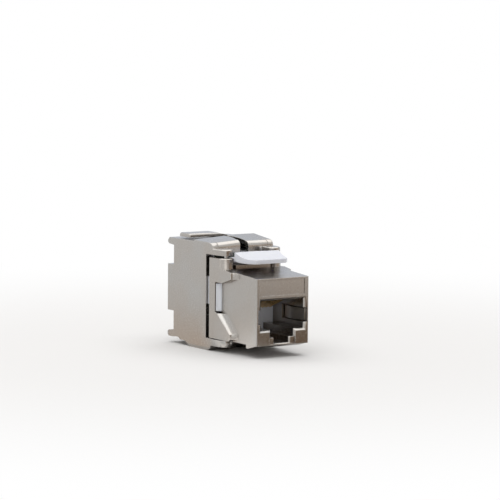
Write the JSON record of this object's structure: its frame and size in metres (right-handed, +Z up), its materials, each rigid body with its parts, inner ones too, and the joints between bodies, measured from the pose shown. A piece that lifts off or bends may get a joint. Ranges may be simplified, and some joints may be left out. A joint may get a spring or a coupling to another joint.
{
  "type": "shielded tool-free keystone jack",
  "caption": "Shielded keystone jack: die-cast housing with a modular port, two hinged rear wings closed round the wire terminals, and a plastic snap latch on top.",
  "frame": {"origin": "under the middle of the closed jack, on the plane that the wing pads rest on", "axes": "+X to the right seen from the port, +Y from the port towards the cable, +Z up to the latch"},
  "size_m": [0.0172, 0.037, 0.0267],
  "materials": {
    "nickel_die_cast": "satin nickel plate on die-cast zinc",
    "white_plastic": "smooth moulded white plastic",
    "board_laminate": "solder-masked glass laminate",
    "gold_contact": "gold flash on phosphor bronze",
    "tinned_terminal": "tinned bronze",
    "steel_parts": "bright steel"
  },
  "bodies": {
    "housing": {"front_housing": "nickel_die_cast", "contact_carrier": "white_plastic", "circuit_board": "board_laminate", "idc_block": "white_plastic", "wire_manager": "white_plastic", "shield_spring_left": "steel_parts", "shield_spring_right": "steel_parts", "hinge_pin_left_top": "steel_parts", "hinge_pin_left_bottom": "steel_parts", "hinge_pin_right_top": "steel_parts", "hinge_pin_right_bottom": "steel_parts", "port_contact_1": "gold_contact", "port_contact_2": "gold_contact", "port_contact_3": "gold_contact", "port_contact_4": "gold_contact", "port_contact_5": "gold_contact", "port_contact_6": "gold_contact", "port_contact_7": "gold_contact", "port_contact_8": "gold_contact", "idc_terminal_1": "tinned_terminal", "idc_terminal_2": "tinned_terminal", "idc_terminal_3": "tinned_terminal", "idc_terminal_4": "tinned_terminal", "idc_terminal_5": "tinned_terminal", "idc_terminal_6": "tinned_terminal", "idc_terminal_7": "tinned_terminal", "idc_terminal_8": "tinned_terminal"},
    "left_wing": {"left_wing": "nickel_die_cast"},
    "right_wing": {"right_wing": "nickel_die_cast"},
    "latch": {"snap_latch": "white_plastic"}
  },
  "joints": [
    {"name": "left_wing_hinge", "type": "hinge", "parent": "housing", "child": "left_wing", "pos_m": [-0.00665, -0.00435, 0.01348], "axis": [0, 0, 1], "range_deg": [0, 100]},
    {"name": "right_wing_hinge", "type": "hinge", "parent": "housing", "child": "right_wing", "pos_m": [0.00665, -0.00435, 0.01348], "axis": [0, 0, -1], "range_deg": [0, 100]},
    {"name": "latch_flex", "type": "hinge", "parent": "housing", "child": "latch", "pos_m": [0, -0.0021, 0.02133], "axis": [1, 0, 0], "range_deg": [0, 8], "stiffness_Nm_per_rad": 0.1}
  ]
}
